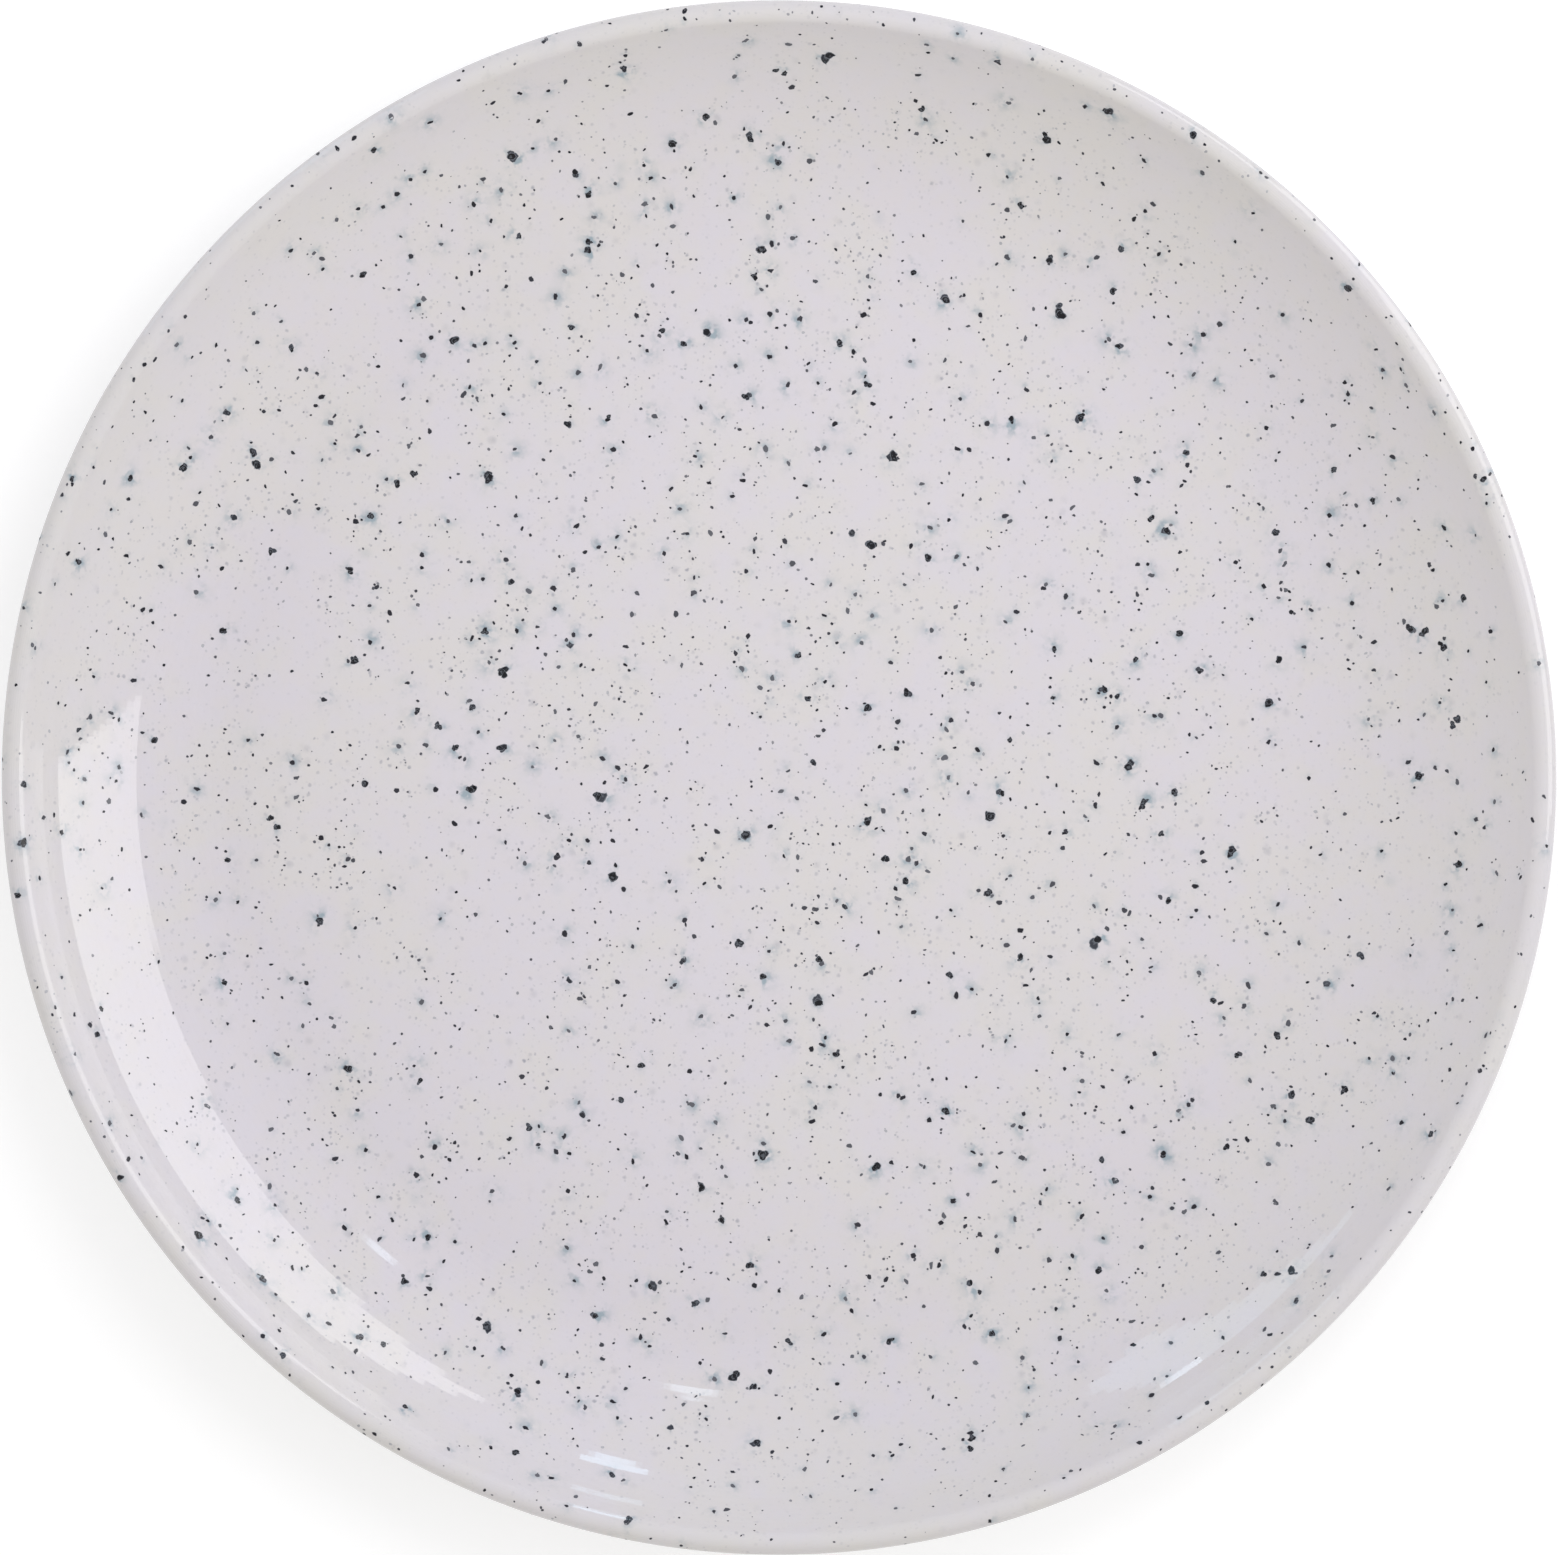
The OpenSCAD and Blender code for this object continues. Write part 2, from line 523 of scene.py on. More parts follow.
def lathe(piece, outline, finish):
    """Turns an outline about the axis, into a closed mesh whose map shows its seen side from above."""
    tree = Growth(piece + "_lathe", LATHE_SIZES | {"Finish": finish})
    shape = outline(tree)
    stretches = shape.before + shape.seen + shape.after
    steps = steps_of(stretches)
    seen_from = steps_of(shape.before)
    seen_to = seen_from + steps_of(shape.seen)

    # A grid whose columns are the steps along the outline, and whose rows are the segments of the turn
    sizes = {"Size X": float(steps), "Size Y": 1.0, "Vertices X": steps + 1, "Vertices Y": SEGMENTS + 1}
    geometry = tree.node("GeometryNodeMeshGrid", sizes)
    place = tree.place()
    walked = place.part("X") + steps / 2
    angle = (place.part("Y") + 0.5) * TURN
    middle = tree.node("GeometryNodeFieldOnDomain", [walked], domain="FACE", data_type="FLOAT")
    seen = (middle > seen_from) * (middle < seen_to)
    geometry = tree.store(geometry, "seen", seen, "FACE")

    r, z, gone = walk(stretches, walked, *shape.start)
    east, north = cos(angle), sin(angle)
    seen_r = (gone - shape.hub).function("ABSOLUTE") * SEEN_MAP_R / shape.reach
    hidden_r = r * HIDDEN_MAP_R / tree["Plate radius"]
    on_face = tree.named("seen")
    map_r = seen_r * on_face + hidden_r * (1 - on_face)
    map_hub = HIDDEN_MAP_CENTRE + (SEEN_MAP_CENTRE - HIDDEN_MAP_CENTRE) * on_face
    chart = tree.join(map_hub + map_r * east, map_hub + map_r * north, 0)
    geometry = tree.store(geometry, MAP_NAME, chart, "CORNER", "FLOAT2")
    geometry = tree.moved(geometry, Position=tree.join(r * east, r * north, z))
    geometry = tree.node("GeometryNodeMergeByDistance", {"Geometry": geometry, "Distance": MERGE_GAP})

    bend = tree.node("GeometryNodeInputMeshEdgeAngle")
    sharp = {"Geometry": geometry, "Selection": bend > EDGE_ANGLE, "Shade Smooth": False}
    geometry = tree.node("GeometryNodeSetShadeSmooth", sharp, domain="EDGE")

    return tree.grow(new_piece(piece), geometry)


# Mineral grains

# Decimals of a metre to which the places of grains are compared
PLACE_DIGITS = 6
# How far the palest grain stands out of the glaze. The darkest stands out twice as far, and shows on top.
GRAIN_PROUD = 0.014 * MM
# How deep the tip of a grain goes, so that its rim is always covered
GRAIN_DEPTH = 0.12 * MM
# Share of a grain's depth past which a point of it belongs to its tip
TIP_SHARE = 0.25
# Width of the lobes of a grain's outline, as a share of the largest grain's width
LOBE_SHARE = 0.5
# Lumps that a coarse grain is made of, the width of the least of them as a share of the grain's, and the
# share of half a cell that each takes in the map
LUMPS = 3
LEAST_LUMP_SHARE = 0.58
MAP_CELL_SHARE = 0.44
# The map of scattered grains: across it by their tint and a little by their width, up it from heart to rim
TINT_MAP_START = 0.06
TINT_MAP_SPAN = 0.88
WIDTH_MAP_SPAN = 0.05
HEART_MAP_START = 0.04
HEART_MAP_SPAN = 0.92


def grain_seats(node):
    """A mesh of points, one in the middle of each grain of a CAD node, with the width of that grain."""
    form = bmesh.new()
    form.from_mesh(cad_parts[node].data)
    bmesh.ops.remove_doubles(form, verts=form.verts, dist=MERGE_GAP)
    bmesh.ops.triangulate(form, faces=form.faces)
    places, girths = [], []
    left_over = set(form.faces)
    while left_over:
        grain, edge = set(), [left_over.pop()]
        while edge:
            face = edge.pop()
            grain.add(face)
            near = {n for e in face.edges for n in e.link_faces} & left_over
            left_over -= near
            edge.extend(near)
        corners = np.array([[v.co for v in f.verts] for f in grain])
        volume = np.einsum("ij,ij->i", corners[:, 0], np.cross(corners[:, 1], corners[:, 2])).sum() / 6
        places.append(corners.mean(axis=(0, 1)))
        girths.append(2 * math.sqrt(abs(volume) / (math.pi * coat)))
    form.free()
    # The faces of a set come in no fixed order, so the grains are put in order of their places
    order = np.lexsort(np.round(np.array(places), PLACE_DIGITS).T)
    points = bpy.data.meshes.new(node + "_seats")
    points.from_pydata(np.array(places)[order].tolist(), [], [])
    points.attributes.new("girth", "FLOAT", "POINT").data.foreach_set("value", np.array(girths)[order])
    return points


def seen_side(tree):
    """The faces of a coat that show."""
    sockets = {"Geometry": tree.mesh_of("Coat"), "Selection": tree.named("seen")}
    return tree.node("GeometryNodeSeparateGeometry", sockets, domain="FACE")


def grain_form(tree):
    """A flat grain of unit radius: a disc on top, and a cone under it whose tip goes into the glaze."""
    place = tree.place()
    across, along = place.part("X"), place.part("Y")
    flat = tree.join(across, along, 0)
    sizes = {
        "Vertices": tree["Sides"],
        "Fill Segments": tree["Rings"],
        "Radius Top": 0.0,
        "Radius Bottom": 1.0,
        "Depth": 1.0,
    }
    grain = tree.node("GeometryNodeMeshCone", sizes, fill_type="TRIANGLE_FAN")
    grain = tree.store(grain, "sunk", place.part("Z") > TIP_SHARE)
    grain = tree.store(grain, "across", across)
    grain = tree.store(grain, "along", along)
    grain = tree.store(grain, "heart", tree.vector("LENGTH", flat, out="Value"))
    return tree.moved(grain, Position=flat)


def laid_grains(tree, points, coat_mesh):
    """Puts a grain on each point, gives it a ragged outline and lays it on the coat."""
    facing = {"Mesh": coat_mesh, "Value": tree.node("GeometryNodeInputNormal")}
    upright = tree.node("GeometryNodeSampleNearestSurface", facing, data_type="FLOAT_VECTOR")
    inward = tree.scaled(upright, -1)
    turned = tree.node("FunctionNodeAlignRotationToVector", {"Vector": inward}, axis="Z")
    spin = tree.node("FunctionNodeAxisAngleToRotation", {"Angle": tree.chance("spin", high=TURN)})
    both = {"Rotation": turned, "Rotate By": spin}
    turned = tree.node("FunctionNodeRotateRotation", both, rotation_space="LOCAL")
    stretch = 1 + (tree["Stretch"] - 1) * tree.chance("stretch")
    girth = tree.named("girth") * tree["Spread"]
    radius = girth * 0.5
    sockets = {
        "Points": points,
        "Instance": grain_form(tree),
        "Rotation": turned,
        "Scale": tree.join(radius * stretch, radius / stretch, 1.0),
    }
    grains = tree.node("GeometryNodeInstanceOnPoints", sockets)
    grains = tree.node("GeometryNodeRealizeInstances", [grains])

    push = tree.wander(tree.place(), LOBE_SHARE * tree["Largest"], detail=1.0)
    grains = tree.moved(grains, Offset=tree.scaled(push, girth * tree["Raggedness"]))
    on_coat = tree.node("GeometryNodeProximity", {0: coat_mesh}, out="Position", target_element="FACES")
    sunk = tree.named("sunk")
    lift = GRAIN_PROUD * (2 - tree.named("tint")) * (1 - sunk) - GRAIN_DEPTH * sunk
    return tree.moved(grains, Position=tree.vector("ADD", on_coat, tree.scaled(upright, lift)))


def seated_grains(piece, skin, seats, finish, seed):
    """Coarse grains where the frame has them, with a cell of the map for each of their lumps."""
    inputs = {
        "Coat": skin,
        "Finish": finish,
        "Largest": max(girth.value for girth in seats.attributes["girth"].data),
        "Spread": 1.14,
        "Stretch": 1.3,
        "Raggedness": 0.8,
        "Sides": 14,
        "Rings": 2,
        "Lumps": LUMPS,
        "Lump drift": 0.32,
        "Pigment": 0.85,
        "Map cells": math.ceil(math.sqrt(LUMPS * len(seats.vertices))),
        "Seed": seed,
    }
    tree = Growth(piece + "_form", inputs)
    points = tree.node("GeometryNodeMeshToPoints", {"Mesh": tree.start})
    sockets = {"Geometry": points, "Amount": tree["Lumps"]}
    points = tree.node("GeometryNodeDuplicateElements", sockets, domain="POINT")
    girth = tree.named("girth")
    points = tree.moved(points, Offset=tree.scaled(tree.toss("drift"), girth * tree["Lump drift"]))
    lump = LEAST_LUMP_SHARE + (1 - LEAST_LUMP_SHARE) * tree.chance("lump")
    points = tree.store(points, "girth", girth * lump)
    points = tree.store(points, "tint", tree.chance("tint"))
    points = tree.store(points, "number", tree.node("GeometryNodeInputIndex"))
    points = tree.store(points, "pigment", tree["Pigment"])
    grains = laid_grains(tree, points, seen_side(tree))
    cells = tree["Map cells"]
    column = tree.named("number") % cells
    row = (tree.named("number") / cells).function("FLOOR")
    chart_x = (column + 0.5 + MAP_CELL_SHARE * tree.named("across")) / cells
    chart_y = (row + 0.5 + MAP_CELL_SHARE * tree.named("along")) / cells
    grains = tree.store(grains, MAP_NAME, tree.join(chart_x, chart_y, 0), "CORNER", "FLOAT2")
    return tree.grow(new_piece(piece, seats), grains)


def scattered_grains(piece, skin, finish, seed, **sizes):
    """Smaller grains over a whole coat, thinning out to its rim, whose map goes by tint and heart."""
    inputs = {"Coat": skin, "Finish": finish, "Seed": seed, "Plate radius": plate_r} | {
        name.replace("_", " ").capitalize(): value for name, value in sizes.items()
    }
    tree = Growth(piece + "_scatter", inputs)
    place = tree.place()
    out = tree.vector("LENGTH", tree.join(place.part("X"), place.part("Y"), 0), out="Value")
    thinning = 1 - (1 - tree["Rim share"]) * out / tree["Plate radius"]
    level = tree.node("GeometryNodeInputNormal").part("Z").function("ABSOLUTE")
    cluster = tree.noise(place, tree["Cluster width"], detail=1.0)
    crowding = (1 + (cluster - NOISE_MEAN) * tree["Clustering"]).at_least(0)
    coat_mesh = seen_side(tree)
    sockets = {
        "Mesh": coat_mesh,
        "Density": tree["Grains per square metre"] * thinning * level * crowding,
        "Seed": tree["Seed"],
    }
    points = tree.node("GeometryNodeDistributePointsOnFaces", sockets, distribute_method="RANDOM")
    size_range = tree["Largest"] - tree["Smallest"]
    girth = tree["Smallest"] + size_range * tree.chance("size") ** tree["Size power"]
    points = tree.store(points, "girth", girth)
    points = tree.store(points, "tint", tree.chance("tint"))
    points = tree.store(points, "pigment", tree["Pigment"])
    grains = laid_grains(tree, points, coat_mesh)
    chart_x = TINT_MAP_START + TINT_MAP_SPAN * tree.named("tint") + WIDTH_MAP_SPAN * tree.named("across")
    chart_y = HEART_MAP_START + HEART_MAP_SPAN * tree.named("heart")
    grains = tree.store(grains, MAP_NAME, tree.join(chart_x, chart_y, 0), "CORNER", "FLOAT2")
    return tree.grow(new_piece(piece), grains)


def bleed_into(skin, coarse, medium, finish, seed):
    """Lets each point of a coat know the nearest large grain, whose pigment has run into the glaze."""
    inputs = {
        "Coarse": coarse,
        "Medium": medium,
        "Least girth": 0.56 * MM,
        "Lean": 0.42 * MM,
        "Finish": finish,
        "Seed": seed,
    }
    tree = Growth(skin.name + "_bleed", inputs)
    place = tree.place()
    girth = tree.named("girth")
    large = tree.named("sunk") * (girth > tree["Least girth"])
    tips = []
    for grains in ("Coarse", "Medium"):
        sockets = {"Geometry": tree.mesh_of(grains), "Selection": large}
        tips.append(tree.node("GeometryNodeSeparateGeometry", sockets))
    seats = tree.node("GeometryNodeJoinGeometry", [tips])
    nearest = tree.node("GeometryNodeSampleNearest", {"Geometry": seats})
    at_seat = {"Geometry": seats, "Index": nearest}
    seat = tree.node("GeometryNodeSampleIndex", at_seat | {"Value": place}, data_type="FLOAT_VECTOR")
    seat = tree.vector("ADD", seat, tree.scaled(tree.toss("lean", ID=nearest), tree["Lean"]))
    seat_girth = tree.node("GeometryNodeSampleIndex", at_seat | {"Value": girth}, data_type="FLOAT")
    pigment = tree.named("pigment")
    seat_pigment = tree.node("GeometryNodeSampleIndex", at_seat | {"Value": pigment}, data_type="FLOAT")
    geometry = tree.store(tree.start, "seat", seat, data_type="FLOAT_VECTOR")
    geometry = tree.store(geometry, "seat_away", tree.vector("DISTANCE", place, seat, out="Value"))
    geometry = tree.store(geometry, "seat_girth", seat_girth)
    geometry = tree.store(geometry, "seat_pigment", seat_pigment)
    geometry = tree.store(geometry, "seat_number", nearest)
    geometry = tree.store(geometry, "seat_luck", tree.chance("luck", ID=nearest))
    return tree.grow(skin, geometry)


# Finishes. A wave is a length in a noise, and a band is the part of a value over which something sets in.


def linear(red, green, blue):
    """A colour given in 0 to 255 as it looks on a screen, as the light that it sends back."""
    return tuple(((c / 255 + 0.055) / 1.055) ** 2.4 for c in (red, green, blue))


def colour(red, green, blue):
    return (*linear(red, green, blue), 1)


# Lavender and cream clouds, and a small mottle that multiplies them
SMALL_CLOUD_WAVE = 9 * MM
LARGE_CLOUD_WAVE = 34 * MM
CLOUD_TONES = [(0.44, linear(221, 215.6, 221.2)), (0.58, linear(221.4, 216.8, 216.6))]
MOTTLE_WAVE = 3.4 * MM
MOTTLE_TONES = [(0.4, (0.996, 1.0, 1.01)), (0.6, (1.002, 1.0, 0.99))]
# Painted light: a creamier tone up the wall and over the lip, standing in for how they are lit, and its
# share at the lip
PAINTED_WALL_CREAM = (218, 216, 213)
PAINTED_CREAM_SHARE = 0.4

# Pigment that has run into the glaze fades away from a ring round its grain, whose radius is a share of the
# grain's width, over a length that goes by luck. Its edge is uneven, and it is patchy.
STAIN = (160, 174, 183)
BLEED_RING_SHARE = 0.6
BLEED_LEAST = 0.3 * MM
BLEED_MORE = 0.6 * MM
BLEED_EDGE_WAVE = 0.9 * MM
BLEED_EDGE_DEPTH = 1.7 * MM
PATCH_WAVE = 1.7 * MM
PATCH_BAND = (0.4, 0.6)
PATCH_LEAST = 0.15
PATCH_MORE = 1.7
# A grain's number that is off by more than this is a blend of two numbers
NUMBER_GAP = 0.001

# Grains that the glaze covers. For each kind: its spacing, the shares of that at which a spot starts and
# ends, its strength and its colour.
VEILED = (165, 165, 174)
DEEP_GRAINS = (
    (9 * MM, 0.0, 0.2, 0.25, STAIN),
    (3.6 * MM, 0.02, 0.3, 0.34, VEILED),
    (1.8 * MM, 0.05, 0.28, 0.75, VEILED),
    (1.0 * MM, 0.06, 0.34, 0.62, VEILED),
)
SPOT_EDGE_WAVE = 0.7 * MM
SPOT_EDGE_DEPTH = 0.5 * MM
# Width of the crowds that fine grains and deep grains come in, how strong deep grains are between crowds and
# how much more within them, and the share of that which is lost up the wall
FINE_CROWD_W = 9 * MM
CROWD_BAND = (0.38, 0.62)
CROWD_LEAST = 0.4
CROWD_MORE = 0.9
CROWD_LOST_SHARE = 0.6

# Slow waves in the glaze, and its roughness
GLAZE_WAVE = 22 * MM
GLAZE_WAVE_DEPTH = 1 * MM
GLAZE_ROUGH_WAVE = 3 * MM
GLAZE_ROUGH_LEAST = 0.03
GLAZE_ROUGH_MORE = 0.02


def glaze(name):
    """Glossy pale glaze, clouded lavender and cream, with a bluish bleed round many of its large grains."""
    tree = Finish(name)
    place = tree.place()

    clouds = (tree.noise(place, SMALL_CLOUD_WAVE, detail=3.0) + tree.noise(place, LARGE_CLOUD_WAVE)) * 0.5
    mottle = tree.ramp(tree.noise(place, MOTTLE_WAVE), MOTTLE_TONES)
    base = tree.mixed(1.0, tree.ramp(clouds, CLOUD_TONES), mottle, "MULTIPLY")
    # Painted light: the glaze is made creamier up the wall and over the lip, standing in for how they are
    # lit
    up_wall = tree.smooth_step(place.part("Z"), well_z, lip_z)
    base = tree.mixed(up_wall * PAINTED_CREAM_SHARE, base, colour(*PAINTED_WALL_CREAM))

    # The distance to the grain is exact on a face whose corners share it, where its number is whole. On the
    # other faces it is blended from the corners.
    number = tree.attribute("seat_number")
    whole = (number - number.function("ROUND")).function("ABSOLUTE") < NUMBER_GAP
    away = tree.vector("DISTANCE", place, tree.attribute("seat", out="Vector"), out="Value")
    away = away * whole + tree.attribute("seat_away") * (1 - whole)
    edge = (tree.noise(place, BLEED_EDGE_WAVE, detail=3.0) - NOISE_MEAN) * BLEED_EDGE_DEPTH
    away = away - tree.attribute("seat_girth") * BLEED_RING_SHARE + edge
    luck = tree.attribute("seat_luck")
    reach = BLEED_LEAST + BLEED_MORE * luck
    patches = PATCH_LEAST + PATCH_MORE * tree.smooth_step(tree.noise(place, PATCH_WAVE), *PATCH_BAND)
    bleed = (-away / reach).function("EXPONENT").clamped() * tree.attribute("seat_pigment")
    base = tree.mixed((bleed * luck * patches).clamped(), base, colour(*STAIN))

    # Grains that lie too deep to show, as faint spots with uneven edges that crowd together in places
    crowd = tree.smooth_step(tree.noise(place, FINE_CROWD_W, detail=1.0), *CROWD_BAND)
    crowding = (CROWD_LEAST + CROWD_MORE * crowd) * (1 - CROWD_LOST_SHARE * up_wall)
    wandering = tree.vector("ADD", place, tree.scaled(tree.wander(place, SPOT_EDGE_WAVE), SPOT_EDGE_DEPTH))
    for spacing, start, end, share, shade in DEEP_GRAINS:
        sockets = {"Vector": wandering, "Scale": 1 / spacing}
        spots = tree.node("ShaderNodeTexVoronoi", sockets, out="Distance")
        spot_luck = spots.sibling("Color").part("X")
        deep = (1 - tree.smooth_step(spots, start, end)) * spot_luck * spot_luck
        base = tree.mixed(deep * crowding * share, base, colour(*shade))

    # The waves are too low to see except in what the glaze mirrors
    waves = tree.noise(place, GLAZE_WAVE, detail=1.0)
    bump = tree.node("ShaderNodeBump", {"Height": waves, "Strength": 0.08, "Distance": GLAZE_WAVE_DEPTH})
    rough = GLAZE_ROUGH_LEAST + GLAZE_ROUGH_MORE * tree.noise(place, GLAZE_ROUGH_WAVE)
    return tree.shaded({"Base Color": base, "Roughness": rough, "IOR": 1.52, "Normal": bump})


# Tints at which a grain has each of its tones
TONE_TINTS = (0.1, 0.5, 0.9)
# Where a grain pales on the way from its heart to its rim, and by how much
RIM_BAND = (0.78, 1.0)
RIM_PALENESS = 0.8
# Where its flaws end on that way, and their size and number
FLAW_END_BAND = (0.4, 0.75)
FLAW_WAVE = 0.6 * MM
FLAW_BAND = (0.5, 0.6)


def mineral(name, tones, rim, flaws=0):
    """Dark grain under gloss: darkest in its heart, paler at its rim, with pale flaws in coarse ones."""
    tree = Finish(name)
    heart = tree.attribute("heart")
    body = tree.ramp(tree.attribute("tint"), list(zip(TONE_TINTS, tones)))
    body = tree.mixed(tree.smooth_step(heart, *RIM_BAND) * RIM_PALENESS, body, (*rim, 1))
    if flaws:
        inside = 1 - tree.smooth_step(heart, *FLAW_END_BAND)
        flaw = tree.smooth_step(tree.noise(tree.place(), FLAW_WAVE, detail=1.0), *FLAW_BAND) * inside
        body = tree.mixed(flaw * flaws, body, (*rim, 1))
    return tree.shaded({"Base Color": body, "Roughness": 0.05, "IOR": 1.4})


# Clouds of the fired clay, and its grit, which is rough and in places dark
CLAY_CLOUD_WAVE = 14 * MM
CLAY_TONES = [(0.3, linear(196, 182, 162)), (0.55, linear(214, 203, 187)), (0.75, linear(222, 214, 202))]
GRIT = (150, 132, 112)
GRIT_WAVE = 0.5 * MM
GRIT_DEPTH = 0.1 * MM
GRIT_BAND = (0.60, 0.72)
GRIT_SHARE = 0.5
CLAY_ROUGH_LEAST = 0.78
CLAY_ROUGH_MORE = 0.15


def bare_clay(name):
    """Fired clay without glaze, as the ground foot ring shows it."""
    tree = Finish(name)
    place = tree.place()
    grit = tree.noise(place, GRIT_WAVE, detail=4.0)
    base = tree.ramp(tree.noise(place, CLAY_CLOUD_WAVE, detail=4.0), CLAY_TONES)
    base = tree.mixed(tree.smooth_step(grit, *GRIT_BAND) * GRIT_SHARE, base, colour(*GRIT))
    bump = tree.node("ShaderNodeBump", {"Height": grit, "Strength": 0.5, "Distance": GRIT_DEPTH})
    rough = CLAY_ROUGH_LEAST + CLAY_ROUGH_MORE * grit
    return tree.shaded({"Base Color": base, "Roughness": rough, "Normal": bump})


# What the table sends back of the light on it, and what the camera and mirrors see on top of that
TABLE_TONE = 0.62
TABLE_GLOW = 0.52


def table_top(name):
    """Pale table that the camera and mirrors see as white."""
    tree = Finish(name)
    ray = tree.node("ShaderNodeLightPath", out="Is Camera Ray")
    shown = (ray + ray.sibling("Is Glossy Ray") + ray.sibling("Is Transmission Ray")).clamped()
    return tree.shaded(
        {
            "Base Color": (TABLE_TONE, TABLE_TONE, TABLE_TONE, 1),
            "Roughness": 0.9,
            "Emission Color": shown * TABLE_GLOW,
            "Emission Strength": 1.0,
        }
    )


face_finish = glaze("speckled_face_glaze")
back_finish = glaze("speckled_back_glaze")
base_finish = glaze("speckled_base_glaze")
coarse_tones = [linear(12, 13, 20), linear(20, 22, 30), linear(62, 65, 74)]
medium_tones = [linear(30, 30, 38), linear(52, 52, 60), linear(100, 101, 108)]
fine_tones = [linear(52, 52, 60), linear(92, 91, 98), linear(186, 186, 191)]
coarse_finish = mineral("coarse_mineral", coarse_tones, linear(128, 133, 142), flaws=0.4)
medium_finish = mineral("medium_mineral", medium_tones, linear(122, 122, 130))
fine_finish = mineral("fine_mineral", fine_tones, linear(160, 160, 166))
clay_finish = bare_clay("bare_clay")


# The pieces

clay = lathe("clay_body_turned", clay_outline, clay_finish)
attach(clay, "root")
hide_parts("clay_body")

COATS = {
    "face": (face_outline, face_finish),
    "back": (back_outline, back_finish),
    "base": (base_outline, base_finish),
}
SEEDS_PER_COAT = 10
# Grains on a square metre of each kind, at the middle of the plate, and the share of them left at the rim
MEDIUM = dict(
    grains_per_square_metre=27500.0,
    rim_share=0.95,
    smallest=0.48 * MM,
    largest=1.02 * MM,
    size_power=1.5,
    spread=1.02,
    stretch=1.36,
    raggedness=0.75,
    cluster_width=16 * MM,
    clustering=3.0,
    pigment=0.5,
    sides=10,
    rings=1,
)
FINE = dict(
    grains_per_square_metre=96000.0,
    rim_share=0.5,
    smallest=0.22 * MM,
    largest=0.62 * MM,
    size_power=1.3,
    spread=1.0,
    stretch=1.25,
    raggedness=0.5,
    cluster_width=FINE_CROWD_W,
    clustering=4.0,
    pigment=0.0,
    sides=6,
    rings=1,
)

for number, (side, (outline, glaze_finish)) in enumerate(COATS.items()):
    seed = SEEDS_PER_COAT * number
    skin = lathe(side + "_glaze_coat", outline, glaze_finish)
    seats = grain_seats(side + "_speckles")
    coarse = seated_grains(side + "_coarse_grains", skin, seats, coarse_finish, seed + 1)
    medium = scattered_grains(side + "_medium_grains", skin, medium_finish, seed + 2, **MEDIUM)
    fine = scattered_grains(side + "_fine_grains", skin, fine_finish, seed + 3, **FINE)
    bleed_into(skin, coarse, medium, glaze_finish, seed + 4)
    for piece in (skin, coarse, medium, fine):
        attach(piece, "root")
        side + ("_glaze" if piece is skin else "_grain")
    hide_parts(side + "_glaze")
    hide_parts(side + "_speckles")


# Table, light and camera

TABLE_HALF = 15.0

bpy.ops.mesh.primitive_plane_add(size=2 * TABLE_HALF)
table = bpy.context.object
table.name = "table"
table.data.materials.append(table_top("white_table"))

# Brightness of the room all round, and its tints: warm from the near side, cool from the far side
ROOM_LIGHT = 0.66
FAR_SIDE = (0.34, 0.94, 0)
NEAR_TINT = (1.05, 1.035, 0.95, 1)
FAR_TINT = (0.98, 0.99, 1.1, 1)

world = bpy.data.worlds.new("room")
bpy.context.scene.world = world
world.use_nodes = True
world.node_tree.nodes.clear()
room = Drawing(world.node_tree)
direction = room.node("ShaderNodeTexCoord", out="Generated")
farness = room.vector("DOT_PRODUCT", direction, FAR_SIDE, out="Value") * 0.5 + 0.5
room_tint = room.mixed(farness, NEAR_TINT, FAR_TINT)
background = room.node("ShaderNodeBackground", {"Color": room_tint, "Strength": ROOM_LIGHT})
room.node("ShaderNodeOutputWorld", {"Surface": background})


def way_to(azimuth, elevation):
    """The direction from the plate that two angles in degrees give."""
    azimuth, elevation = math.radians(azimuth), math.radians(elevation)
    level = math.cos(elevation)
    return Vector((level * math.cos(azimuth), level * math.sin(azimuth), math.sin(elevation)))


def lamp(name, at, distance, spread, radiance, mirrored=False, tint=(1, 1, 1)):
    """A soft lamp that lights the plate, or that only mirrors show, with its place and size as angles."""
    way = way_to(*at)
    width, height = (2 * distance * math.tan(math.radians(angle) / 2) for angle in spread)
    area = math.pi / 4 * width * height
    light = bpy.data.lights.new(name, "AREA")
    light.shape = "ELLIPSE"
    light.size = width
    light.size_y = height
    light.energy = radiance * math.pi * area
    light.color = tint
    made = bpy.data.objects.new(name, light)
    bpy.context.collection.objects.link(made)
    made.location = distance * way
    made.rotation_euler = way.to_track_quat("Z", "Y").to_euler()
    made.visible_diffuse = not mirrored
    made.visible_glossy = mirrored


def bright_card(name, corners, radiance, tint=(1, 1, 1)):
    """A card that only mirrors show."""
    card = bpy.data.meshes.new(name)
    card.from_pydata(corners, [], [range(len(corners))])
    glow = {"Color": (*tint, 1), "Strength": radiance}
    card.materials.append(Finish(name).shaded(glow, kind="ShaderNodeEmission"))
    made = new_piece(name, card)
    made.visible_camera = False
    made.visible_diffuse = False
    made.visible_shadow = False


# Distances from the plate: overhead, around it, far off, and far off in front of the screen there
OVERHEAD = 0.5
AROUND = 1.5
FAR = 3.0
BEFORE_SCREEN = 2.4
# Tints of the light from outside
DAYLIGHT = (0.7, 0.87, 1.0)
SKY = (0.56, 0.82, 1)

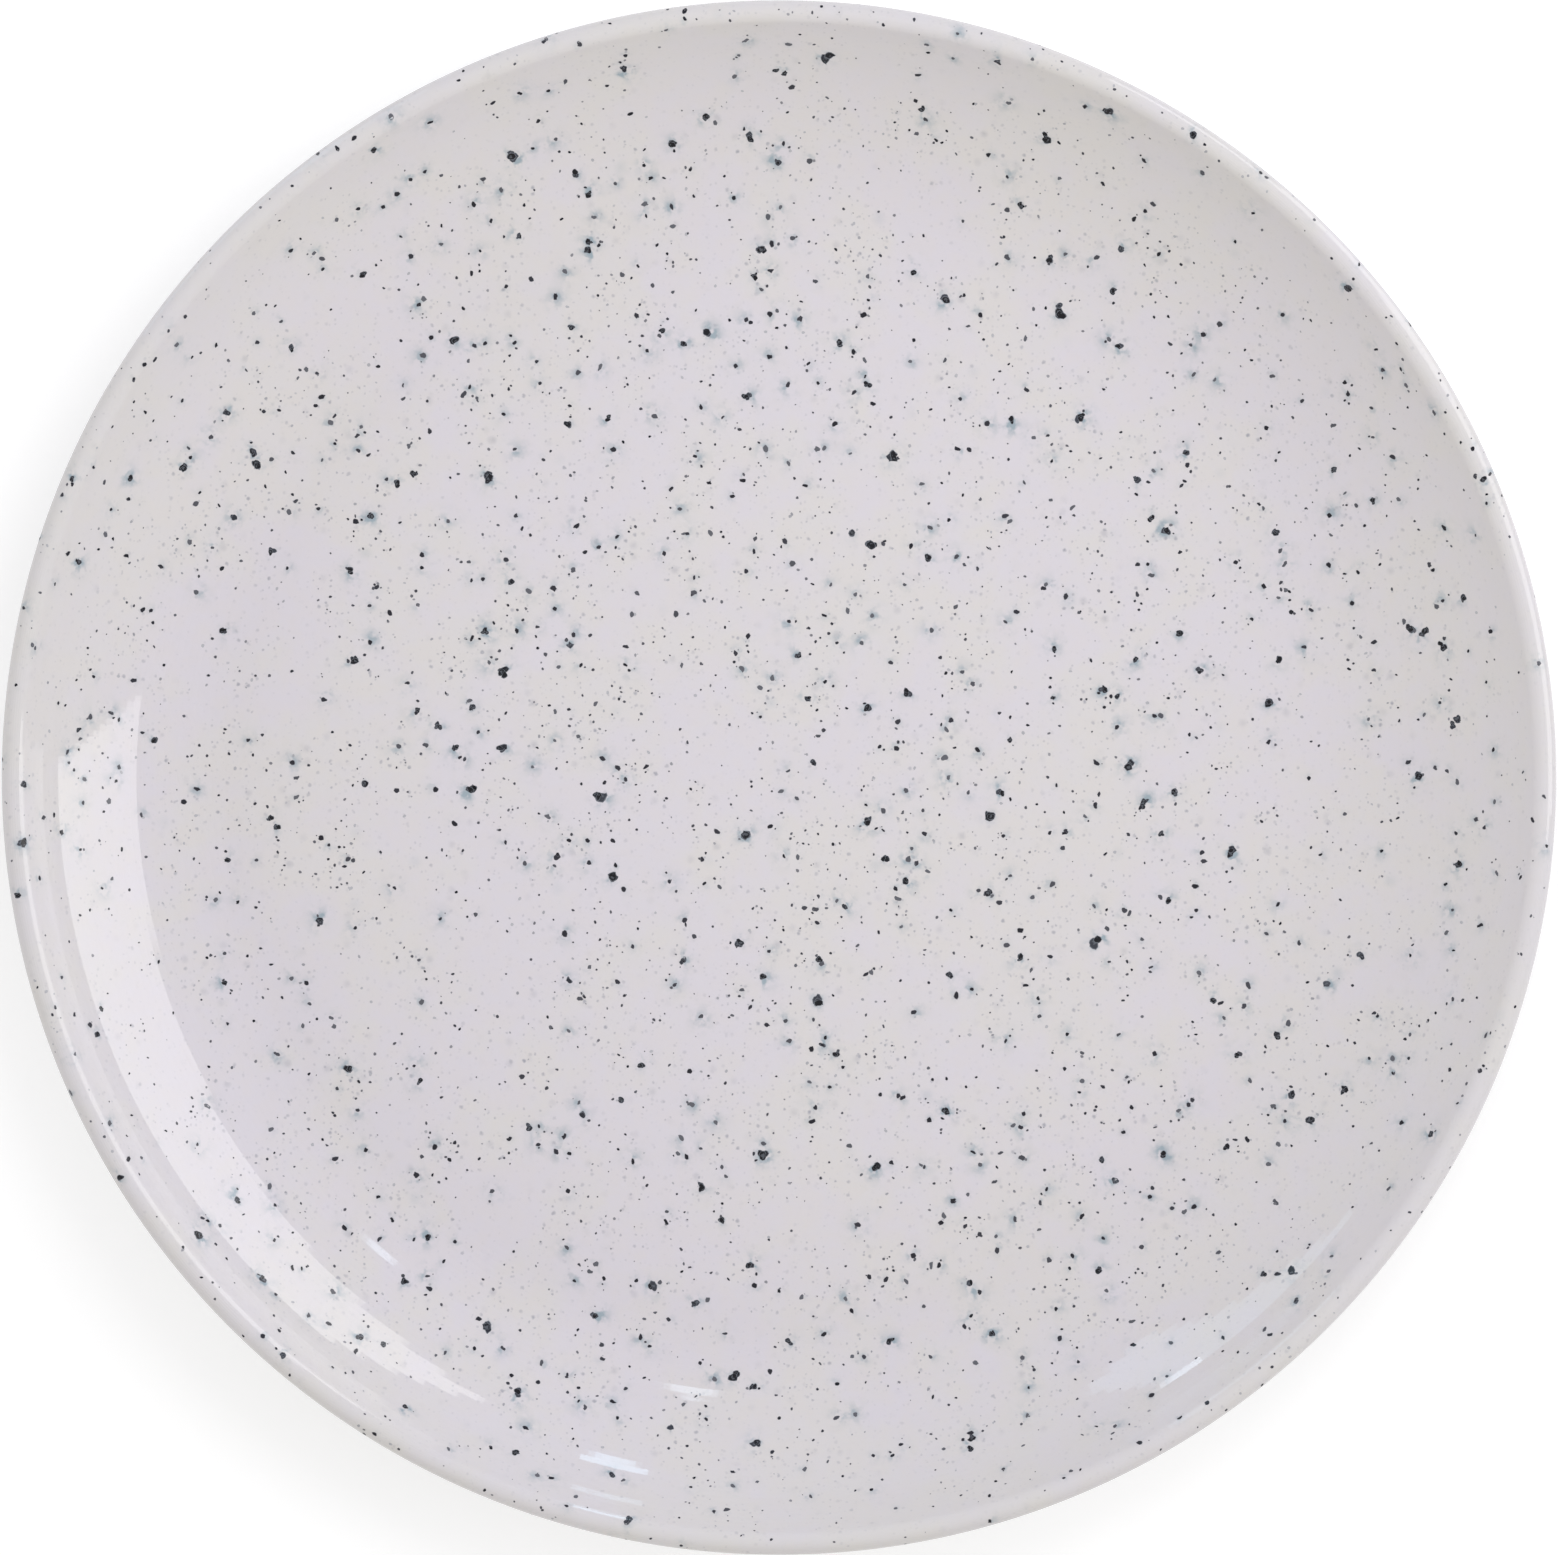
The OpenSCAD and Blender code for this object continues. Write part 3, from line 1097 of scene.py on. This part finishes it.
# A lamp over the far right shades the well, and light from the sides shades the wall and the lip
lamp("overhead", at=(58, 69), distance=OVERHEAD, spread=(26, 26), radiance=3.75)
lamp("window_light", at=(8, 25), distance=AROUND, spread=(60, 40), radiance=1.25)
lamp("far_light", at=(120, 20), distance=AROUND, spread=(60, 32), radiance=0.62, tint=(0.92, 0.97, 1))
lamp("reflector", at=(225, 15), distance=AROUND, spread=(60, 24), radiance=0.66)

# The window's corners along Y and Z, as its image on the left wall places them
WINDOW_X = 1.0
WINDOW_CORNERS = [(-0.02, 0.04), (1.15, 0.0), (2.14, 0.91), (-0.13, 1.19)]
bright_card("window", [(WINDOW_X, y, z) for y, z in WINDOW_CORNERS], radiance=3.15)

# Lamps on the far side, which the near wall mirrors as short streaks
MIRRORED = dict(mirrored=True, tint=DAYLIGHT)
lamp("high_lamp", at=(82, 59), distance=FAR, spread=(3.2, 4.4), radiance=4.3, **MIRRORED)
lamp("low_lamp", at=(76.5, 11.6), distance=FAR, spread=(5.6, 6), radiance=4.6, mirrored=True, tint=SKY)
lamp("edge_lamp", at=(50, 59.4), distance=FAR, spread=(1.9, 3.6), radiance=4.4, **MIRRORED)
lamp("sill_lamp", at=(124, 3.8), distance=BEFORE_SCREEN, spread=(4.5, 2.2), radiance=3.6, **MIRRORED)

# A pale screen on the far left, which the near right wall mirrors, by the directions of its corners
SCREEN_CORNERS = [(116, 23), (123, 35), (129, 20), (145, 0), (124, 0)]
bright_card("pale_screen", [FAR * way_to(*at) for at in SCREEN_CORNERS], radiance=2.0, tint=DAYLIGHT)

camera_data = bpy.data.cameras.new("camera")
camera_data.lens = 150
camera_data.sensor_width = 36
camera = bpy.data.objects.new("camera", camera_data)
bpy.context.collection.objects.link(camera)
half_frame = camera_data.sensor_width / 2 / camera_data.lens
frame_share = PLATE_R_PX / (PHOTO_W_PX / 2)
camera.location = (0, 0, lip_z + plate_r / (half_frame * frame_share))
bpy.context.scene.camera = camera
bpy.context.scene.view_settings.view_transform = "Standard"
